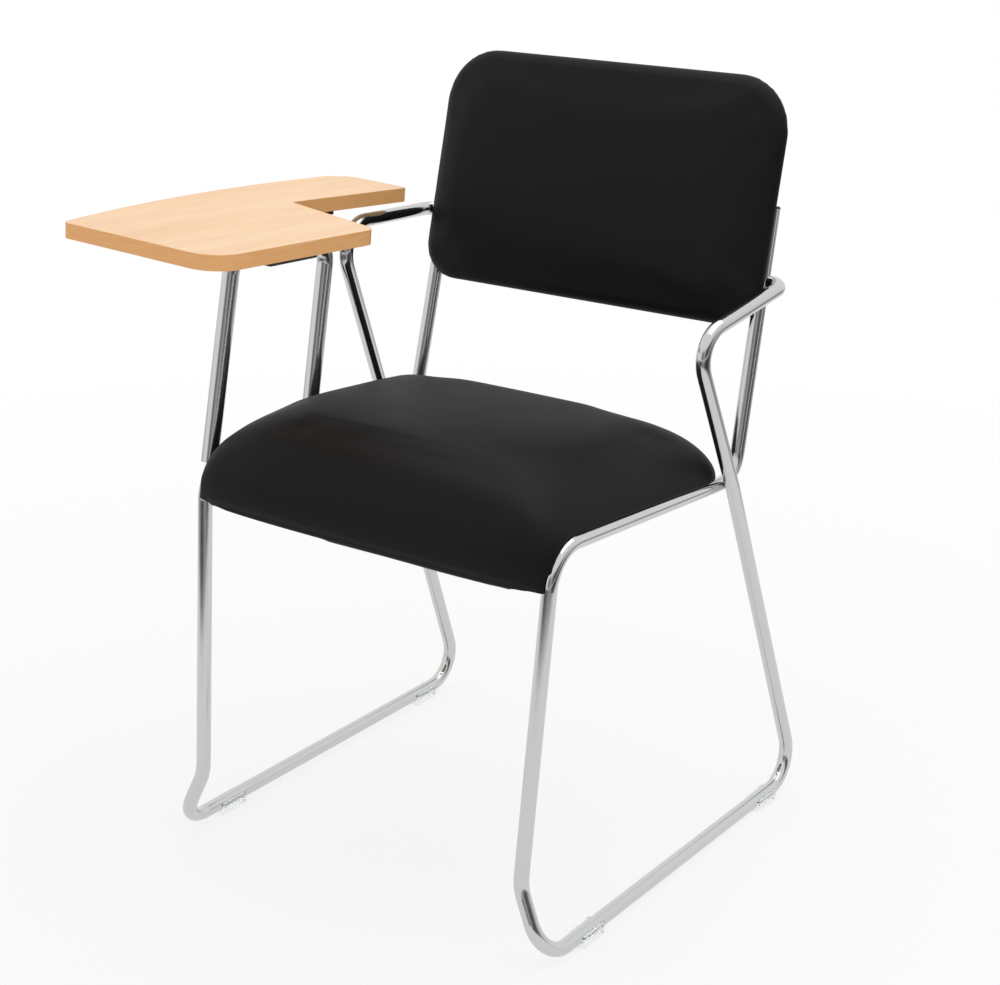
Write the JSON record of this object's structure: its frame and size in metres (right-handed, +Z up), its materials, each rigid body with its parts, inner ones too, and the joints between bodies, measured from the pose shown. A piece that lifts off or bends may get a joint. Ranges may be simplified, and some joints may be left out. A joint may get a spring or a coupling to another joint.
{
  "type": "tablet arm chair",
  "caption": "Stackable training chair: bent tube sled frame with arms, padded seat and back, and a writing tablet that flips up at one side.",
  "frame": {"origin": "on the floor, under the middle of the whole outline, tablet included; the seat's centre line is at x = 0.0347", "axes": "+Z up, -Y the way the sitter faces, +X the sitter's left"},
  "size_m": [0.5897, 0.5878, 0.8357],
  "materials": {
    "chrome_tube": "bright chrome plate",
    "black_leatherette": "smooth coated fabric, soft sheen",
    "seat_foam": "moulded polyurethane foam",
    "plywood": "raw plywood",
    "tablet_laminate": "satin beech laminate",
    "tablet_edge": "satin edge strip",
    "zinc_steel": "zinc plate",
    "black_steel": "black powder coat",
    "black_nylon": "moulded nylon",
    "clear_plastic": "clear moulding",
    "rubber": "matt"
  },
  "bodies": {
    "chair_frame": {"side_frame_left": "chrome_tube", "side_frame_right": "chrome_tube", "seat_front_cross_tube": "chrome_tube", "seat_rear_cross_tube": "chrome_tube", "tablet_loop": "chrome_tube", "seat_cover": "black_leatherette", "back_cover": "black_leatherette", "seat_foam": "seat_foam", "back_foam": "seat_foam", "seat_board": "plywood", "back_board": "plywood", "seat_bolts": "zinc_steel", "seat_tee_nuts": "zinc_steel", "back_bolts": "zinc_steel", "back_tee_nuts": "zinc_steel", "hinge_stop_pin": "zinc_steel", "upright_plugs": "black_nylon", "glide_front_left": "clear_plastic", "glide_front_right": "clear_plastic", "glide_rear_left": "clear_plastic", "glide_rear_right": "clear_plastic"},
    "tablet": {"tablet_board": "tablet_laminate", "tablet_edge_band": "tablet_edge", "tablet_hinge_saddle": "black_steel", "hinge_block_upper": "black_nylon", "hinge_block_lower": "black_nylon", "hinge_clamp_screws": "zinc_steel", "hinge_cross_bolts": "zinc_steel", "tablet_screws": "zinc_steel", "tablet_buffer": "rubber"}
  },
  "joints": [
    {"name": "tablet_hinge", "type": "hinge", "parent": "chair_frame", "child": "tablet", "pos_m": [-0.2103, -0.019, 0.648], "axis": [0, -0.9985, 0.055], "range_deg": [0, 95]}
  ]
}
